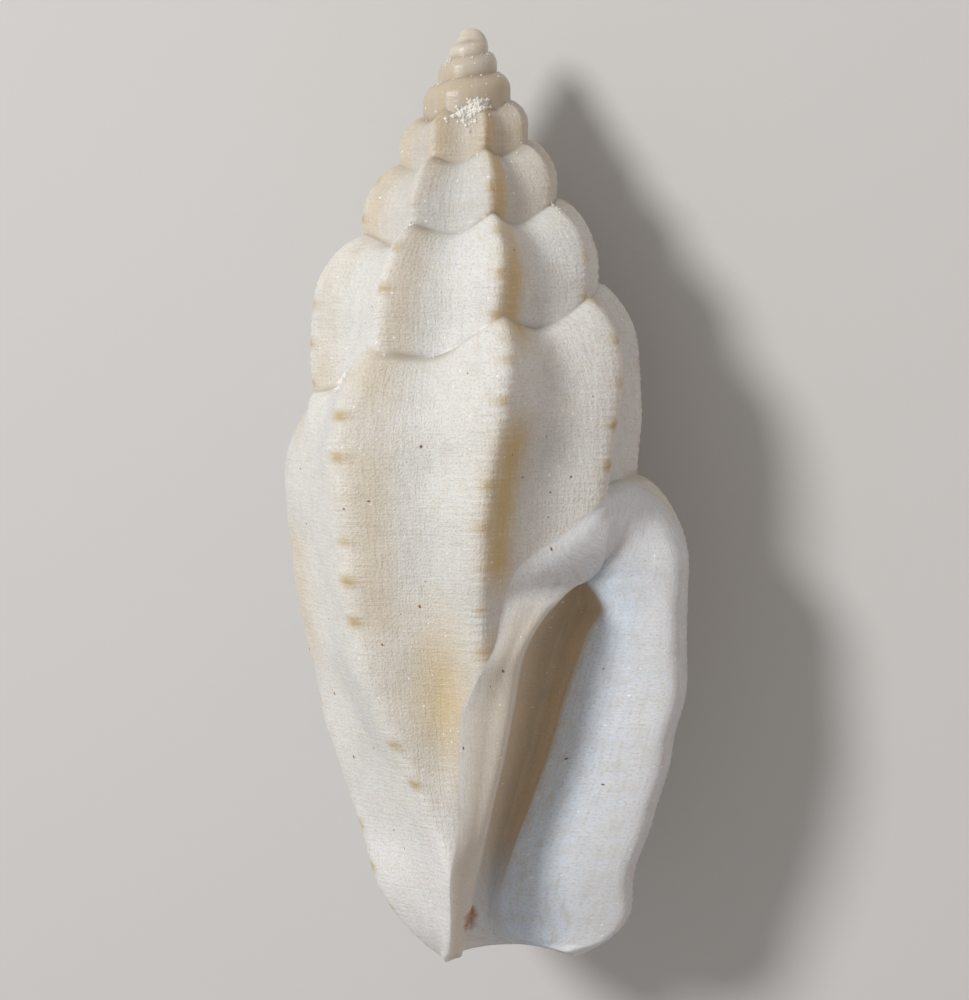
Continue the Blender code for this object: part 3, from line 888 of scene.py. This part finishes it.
def wall_colour(angle, depth):
    """Colour of the wall: by age, with spots at the crests, a band of stain and painted shade beside them,
    and dirt at the sutures.
    """
    along_spiral = spiral_length(angle)
    colour = age_colour(angle)
    cool = patches(along_spiral, depth, COOL_PATCHES)
    colour = blend(colour, COOL_COLOUR, COOL_AMOUNT * cool)
    colour = blend(colour, FRONT_COLOUR, fade(depth, FRONT_FROM, FRONT_FULL))
    marked = on_ribbed_turns(angle, MARKS_FADE_EARLY)
    marked *= fade(angle - rib_slant(angle, depth), LIP_END, 0)
    number = rib_number(angle, depth)
    # Stain and painted shade beside the crests
    colour = blend(colour, STAIN_AND_SHADE_COLOUR, stain_and_shade_strength(angle, depth, number) * marked)
    colour = blend(colour, SPOT_COLOUR, spot_strength(depth, number) * marked)
    dirt = seam_nearness(angle, depth) * patches(along_spiral, depth, SEAM_PATCHES)
    return blend(colour, SEAM_COLOUR, SEAM_AMOUNT * dirt)


def slit_shade_strength(depth, across):
    """Strength of the warm brown painted shade: 1 inside the slit and less in the canal, and 0 on the lip
    and the columella.
    """
    inside = fade(across, *SLIT_RIGHT_ACROSS) * (1 - fade(across, *SLIT_LEFT_ACROSS))
    return inside * fade(depth, *SLIT_DEPTHS) * (1 - CANAL_PALENESS * fade(depth, *CANAL_DEPTHS))


def rust_strength(side, depth, across):
    """1 in the ragged rust spot by the canal, and 0 elsewhere."""
    rust = near(side, RUST_PLACE[0], RUST_SIZE[0]) * near(depth, RUST_PLACE[1], RUST_SIZE[1])
    ragged = RUST_RAGGEDNESS * ripple(side * RUST_FEATURES, depth * RUST_FEATURES, RUST_SEED)
    on_columella = (across > RUST_ACROSS[0]) & (across < RUST_ACROSS[1])
    return fade(rust + ragged, *RUST_EDGE) * on_columella


def opening_colour(side, depth, across):
    """Colour over the opening: bluish-white lip and callus, and warm brown painted shade inside the slit.
    """
    colour = np.tile(LIP_COLOUR, (len(depth), 1))
    inner_lip = near(across, INNER_LIP_AT, INNER_LIP_REACH) * fade(depth, *INNER_LIP_DEPTHS)
    colour = blend(colour, INNER_LIP_COLOUR, inner_lip)
    lower_lip = fade(across, *LOWER_LIP_ACROSS) * fade(depth, *LOWER_LIP_DEPTHS)
    colour = blend(colour, INNER_LIP_COLOUR, LOWER_LIP_AMOUNT * lower_lip)
    callus = fade(across, *CALLUS_ACROSS)
    upper_callus = 1 - fade(depth, *UPPER_CALLUS_DEPTHS)
    colour = blend(colour, CALLUS_COLOUR, np.maximum(callus, upper_callus))
    colour = blend(colour, COLUMELLA_COLOUR, callus * fade(depth, *COLUMELLA_DEPTHS))
    callus_rim = fade(across, *CALLUS_RIM_ACROSS) * fade(depth, *CALLUS_RIM_DEPTHS)
    colour = blend(colour, AGE_COLOURS[0][1], callus_rim)
    # Painted shade inside the slit
    colour = blend(colour, SLIT_SHADE_COLOUR, slit_shade_strength(depth, across))
    return blend(colour, RUST_COLOUR, rust_strength(side, depth, across))


def wall_coarseness(angle, depth):
    """Coarseness of the wall: less on the oldest turns, and none along the sutures and edges."""
    coarse = OLD_COARSENESS + (1 - OLD_COARSENESS) * on_ribbed_turns(angle, MARKS_FADE_EARLY)
    from_edge = np.radians(callus_angle(depth) - angle) * crest_radius(angle)
    by_callus = near(from_edge, 0, SEAM_WIDTH) * (depth > INSERTION_DEPTH)
    coarse *= (1 - seam_nearness(angle, depth)) * (1 - by_callus)
    return coarse * (1 - near(angle, LIP_END, SMOOTH_AT_LIP_DEGREES))


def opening_coarseness(across):
    """Coarseness over the opening: little, and none along its edges and down the slit."""
    at_slit = near(across, SLIT_MIDDLE_AT, SMOOTH_AT_SLIT)
    at_callus_edge = near(across, 1, SMOOTH_AT_CALLUS_EDGE)
    at_lip_edge = near(across, 0, SMOOTH_AT_LIP_EDGE)
    return LIP_COARSENESS * (1 - at_slit) * (1 - at_callus_edge) * (1 - at_lip_edge)


def weave_places(angle, depth, across):
    """Places in millimetres along the spiral and down the wall, which run on over the opening."""
    along_spiral = spiral_length(angle)
    from_callus = along_spiral + OPENING_WIDTH * (1 - across)
    over_opening = np.where(across > SLIT_MIDDLE_AT, from_callus, -OPENING_WIDTH * across)
    along_surface = np.where(across < 0, along_spiral, over_opening)
    return np.stack([along_surface, depth, 0 * depth], axis=-1)


def paint(mesh, points, places):
    """Give every point its colour, its coarseness and its place for the fine texture."""
    angle, depth, across = places.T
    wall = across < 0
    colour = wall_colour(angle, depth)
    colour[~wall] = opening_colour(points[~wall, 0], depth[~wall], across[~wall])
    coarse = np.where(wall, wall_coarseness(angle, depth), opening_coarseness(across))
    coarse *= 1 - near(depth, LENGTH, SEAM_WIDTH)
    weave = weave_places(angle, depth, across)
    tint = mesh.attributes.new("tint", "FLOAT_COLOR", "POINT")
    tint.data.foreach_set("color", np.hstack([colour, np.ones((len(colour), 1))]).ravel())
    mesh.attributes.new("coarse", "FLOAT", "POINT").data.foreach_set("value", coarse)
    mesh.attributes.new("weave", "FLOAT_VECTOR", "POINT").data.foreach_set("vector", weave.ravel())


# White grains
def suture_place(side, depth):
    """Angle on the opening's side of the shell whose suture passes nearest a place."""
    angles = np.arange(LIP_END, NUCLEUS_END)
    tops = suture_line(angles)
    sides, fronts, _ = outer_point(angles, tops).T
    misses = (sides - side) ** 2 + (tops - depth) ** 2
    return angles[int(np.argmin(np.where(fronts < 0, np.inf, misses)))]


def stray_grain(random):
    """Angle, drop below the suture and largest size of a grain on its own."""
    angle = random.uniform(STRAY_GRAINS_FROM, NUCLEUS_END - TURN)
    return angle, abs(random.gauss(0, STRAY_GRAIN_DROP)), STRAY_GRAIN_SIZE


def grain_places(random):
    """Angle, drop below the suture and largest size of each grain, in piles and then stray."""
    places = []
    for side, depth, spread, drop, count, size in GRAIN_PILES:
        middle = suture_place(side, depth)
        reach = math.degrees(spread / crest_radius(middle))
        for _ in range(count):
            angle = middle + random.gauss(0, PILE_SCATTER) * reach
            places.append((angle, random.gauss(PILE_MIDDLE, PILE_SCATTER) * drop, size))
    return places + [stray_grain(random) for _ in range(STRAY_GRAINS)]


def grain_corners(random, middle, size):
    """The six ragged corners of one grain, in pairs on either side of it."""
    corners = []
    for axis in range(3):
        for direction in (-1, 1):
            corner = [random.uniform(-GRAIN_RAGGEDNESS, GRAIN_RAGGEDNESS) * size for _ in range(3)]
            corner[axis] += direction * size
            corners.append(middle + corner)
    return corners


def build_grains(shift):
    """Small angular white crystals that sit in the sutures."""
    random = Random(RANDOM_SEED)
    points = []
    faces = []
    for angle, drop, largest in grain_places(random):
        middle = outer_point(angle, float(suture_line(angle)) + drop)
        size = random.uniform(*GRAIN_SIZE_SPREAD) * largest
        first = len(points)
        points += grain_corners(random, middle, size)
        faces += [(first + a, first + 2 + b, first + 4 + c)
                  for a in (0, 1) for b in (0, 1) for c in (0, 1)]
    placed = np.array(points) @ RESTING.T
    mesh = bpy.data.meshes.new("suture_grains")
    mesh.from_pydata(((placed - shift) * MM).tolist(), [], faces)
    mesh.validate()
    grains = bpy.data.objects.new("suture_grains", mesh)
    bpy.context.collection.objects.link(grains)
    return grains


# The shell as one painted surface
def build_shell():
    """Build the painted shell, and return it with its shift in the resting frame."""
    skin = Skin()
    columns = build_wall(skin)
    rows = build_opening(skin, columns)
    close_seams(skin, columns, rows)
    close_apex(skin, columns)
    close_front_end(skin, columns, rows)
    points = np.array(skin.points)
    placed, shift = lay_down(points)
    mesh = bpy.data.meshes.new("shell_skin")
    mesh.from_pydata(placed.tolist(), [], skin.faces)
    mesh.validate()
    face_outwards(mesh)
    paint(mesh, points, np.array(skin.places))
    mesh.shade_smooth()
    steady_normals(mesh)
    shell = bpy.data.objects.new("shell_skin", mesh)
    bpy.context.collection.objects.link(shell)
    return shell, shift


# Camera, floor and lights
def add_camera():
    """Look at the shell as the photo's right-hand view does, and return the camera's axes."""
    side = Vector(RESTING @ (1, 0, 0))
    tilted = Matrix.Rotation(math.radians(-CAMERA_TILT), 3, side)
    backward = tilted @ Vector(RESTING @ (0, 1, 0))
    up = tilted @ Vector(RESTING @ (0, 0, -1))
    low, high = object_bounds()
    distance = FRAME_HEIGHT * MM * CAMERA_LENS / SENSOR
    camera = bpy.data.cameras.new("camera")
    camera.lens = CAMERA_LENS
    camera.sensor_width = SENSOR
    camera.clip_start = distance * CLIP_SHARES[0]
    camera.clip_end = distance * CLIP_SHARES[1]
    holder = bpy.data.objects.new("camera", camera)
    bpy.context.collection.objects.link(holder)
    rotation = Matrix((side, up, backward)).transposed().to_4x4()
    holder.matrix_world = Matrix.Translation((low + high) / 2 + backward * distance) @ rotation
    bpy.context.scene.camera = holder
    return backward, side, up


def add_floor():
    """Add a plain pale floor under the shell."""
    reach = FLOOR_REACH * MM
    corners = [(-reach, -reach, 0), (reach, -reach, 0), (reach, reach, 0), (-reach, reach, 0)]
    mesh = bpy.data.meshes.new("floor")
    mesh.from_pydata(corners, [], [(0, 1, 2, 3)])
    mesh.materials.append(new_material("floor", FLOOR_COLOUR, FLOOR_ROUGHNESS)[0])
    floor = bpy.data.objects.new("floor", mesh)
    bpy.context.collection.objects.link(floor)


def add_light(name, direction, distance, size, power, colour):
    """Add a round soft light that points at the shell's middle."""
    light = bpy.data.lights.new(name, "AREA")
    light.shape = "DISK"
    light.size = size * MM
    light.energy = power
    light.color = colour
    holder = bpy.data.objects.new(name, light)
    bpy.context.collection.objects.link(holder)
    target = Vector((0, 0, LIGHT_TARGET_HEIGHT * MM))
    holder.location = target + direction * distance * MM
    holder.rotation_mode = "QUATERNION"
    holder.rotation_quaternion = direction.to_track_quat("Z", "Y")


def mixed_direction(axes, shares):
    """Direction that has given shares of three axes."""
    return sum((axis * share for axis, share in zip(axes, shares)), Vector()).normalized()


def light_shell(axes):
    """Light the shell from the upper left, with a weak warm light from the right and a soft studio."""
    key = mixed_direction(axes, KEY_DIRECTION)
    fill = mixed_direction(axes, FILL_DIRECTION)
    add_light("key", key, KEY_DISTANCE, KEY_SIZE, KEY_POWER, KEY_COLOUR)
    add_light("fill", fill, FILL_DISTANCE, FILL_SIZE, FILL_POWER, FILL_COLOUR)
    world = bpy.data.worlds.new("studio")
    world.use_nodes = True
    background = world.node_tree.nodes["Background"]
    background.inputs["Color"].default_value = (*STUDIO_COLOUR, 1)
    background.inputs["Strength"].default_value = STUDIO_STRENGTH
    bpy.context.scene.world = world


# Materials
def new_material(name, colour, roughness):
    """Add a plain material and return it with its node tree and surface."""
    material = bpy.data.materials.new(name)
    material.use_nodes = True
    surface = material.node_tree.nodes["Principled BSDF"]
    surface.inputs["Base Color"].default_value = (*colour, 1)
    surface.inputs["Roughness"].default_value = roughness
    return material, material.node_tree, surface


def read_attribute(tree, name):
    """Read one of the values painted on the shell."""
    node = tree.nodes.new("ShaderNodeAttribute")
    node.attribute_name = name
    return node


def stretched_noise(tree, places, pattern):
    """Noise over the surface, with features stretched along the spiral or down the wall."""
    along_spiral, down_wall, detail = pattern
    mapping = tree.nodes.new("ShaderNodeMapping")
    mapping.inputs["Scale"].default_value = (along_spiral, down_wall, 1)
    tree.links.new(places, mapping.inputs["Vector"])
    noise = tree.nodes.new("ShaderNodeTexNoise")
    noise.inputs["Scale"].default_value = 1.0
    noise.inputs["Detail"].default_value = detail
    tree.links.new(mapping.outputs["Vector"], noise.inputs["Vector"])
    return noise.outputs["Fac"]


def between(tree, value, old_range, new_range):
    """Map a value from one range to another, and stop at the ends."""
    node = tree.nodes.new("ShaderNodeMapRange")
    sockets = ("From Min", "From Max", "To Min", "To Max")
    for socket, limit in zip(sockets, old_range + new_range):
        node.inputs[socket].default_value = limit
    tree.links.new(value, node.inputs["Value"])
    return node.outputs["Result"]


def join(tree, operation, one, other):
    """Add or multiply two varying values."""
    node = tree.nodes.new("ShaderNodeMath")
    node.operation = operation
    tree.links.new(one, node.inputs[0])
    tree.links.new(other, node.inputs[1])
    return node.outputs["Value"]


def tinted(tree, colour, amount, other):
    """Lay another colour over a colour by a varying amount."""
    node = tree.nodes.new("ShaderNodeMix")
    node.data_type = "RGBA"
    tree.links.new(amount, node.inputs["Factor"])
    tree.links.new(colour, node.inputs[MIX_UNDER])
    node.inputs[MIX_OVER].default_value = (*other, 1)
    return node.outputs[MIX_RESULT]


def shell_colour(tree, coarse, weave, woven, growth, speckle):
    """Lay mottling, speckles, pale woven lines, painted white glints, grey veins and dark specks over the
    tint.
    """
    mottle = stretched_noise(tree, weave, MOTTLE_NOISE)
    sparkle = stretched_noise(tree, weave, SPARKLE_NOISE)
    speck = stretched_noise(tree, weave, SPECK_NOISE)
    lines = between(tree, woven, LINE_LEVELS, (0.0, LINE_LIGHTNESS))
    veins = between(tree, growth, VEIN_LEVELS, (0.0, VEIN_DARKNESS))
    smooth = between(tree, coarse, VEIN_COARSENESS, (1.0, 0.0))
    layers = [
        (between(tree, mottle, MOTTLE_LEVELS, (0.0, MOTTLE_DARKNESS)), MOTTLE_COLOUR),
        (between(tree, speckle, SPECKLE_LEVELS, (0.0, SPECKLE_DARKNESS)), MOTTLE_COLOUR),
        (join(tree, "MULTIPLY", lines, coarse), LINE_COLOUR),
        # Painted white glints
        (between(tree, sparkle, SPARKLE_LEVELS, (0.0, 1.0)), PAINTED_GLINT_COLOUR),
        (join(tree, "MULTIPLY", veins, smooth), VEIN_COLOUR),
        (between(tree, speck, SPECK_LEVELS, (0.0, 1.0)), SPECK_COLOUR),
    ]
    colour = read_attribute(tree, "tint").outputs["Color"]
    for amount, other in layers:
        colour = tinted(tree, colour, amount, other)
    return colour


def shell_material():
    """Slightly see-through lime with a woven fine texture, small dark specks and painted white glints."""
    material, tree, surface = new_material("shell_surface", AGE_COLOURS[0][1], ROUGHNESS_RANGE[1])
    coarse = read_attribute(tree, "coarse").outputs["Fac"]
    weave = read_attribute(tree, "weave").outputs["Vector"]
    growth = stretched_noise(tree, weave, GROWTH_NOISE)
    woven = join(tree, "ADD", stretched_noise(tree, weave, STRIAE_NOISE), growth)
    speckle = stretched_noise(tree, weave, SPECKLE_NOISE)
    colour = shell_colour(tree, coarse, weave, woven, growth, speckle)
    tree.links.new(colour, surface.inputs["Base Color"])
    bump = tree.nodes.new("ShaderNodeBump")
    bump.inputs["Distance"].default_value = BUMP_HEIGHT * MM
    tree.links.new(coarse, bump.inputs["Strength"])
    tree.links.new(join(tree, "ADD", woven, speckle), bump.inputs["Height"])
    tree.links.new(bump.outputs["Normal"], surface.inputs["Normal"])
    roughness = between(tree, coarse, (OLD_COARSENESS, 1.0), ROUGHNESS_RANGE)
    tree.links.new(roughness, surface.inputs["Roughness"])
    surface.inputs["Subsurface Weight"].default_value = SEE_THROUGH
    surface.inputs["Subsurface Radius"].default_value = SCATTER_RADIUS
    surface.inputs["Subsurface Scale"].default_value = SCATTER_DEPTH * MM
    surface.inputs["Specular IOR Level"].default_value = SHELL_SHINE
    return material


def grain_material():
    """Shiny white crystal that lets a little light through."""
    material, _, surface = new_material("grain_surface", GRAIN_COLOUR, GRAIN_ROUGHNESS)
    surface.inputs["Subsurface Weight"].default_value = GRAIN_SEE_THROUGH
    surface.inputs["Subsurface Scale"].default_value = GRAIN_SCATTER_DEPTH * MM
    return material


def main():
    """Build the shell and its grains, and set up the camera, the floor and the lights."""
    shell, shift = build_shell()
    shell.data.materials.append(shell_material())
    grains = build_grains(shift)
    grains.data.materials.append(grain_material())
    for piece in (shell, grains):
        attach(piece, "root")
    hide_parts("shell")
    axes = add_camera()
    add_floor()
    light_shell(axes)
    bpy.context.scene.view_settings.view_transform = "Standard"


main()
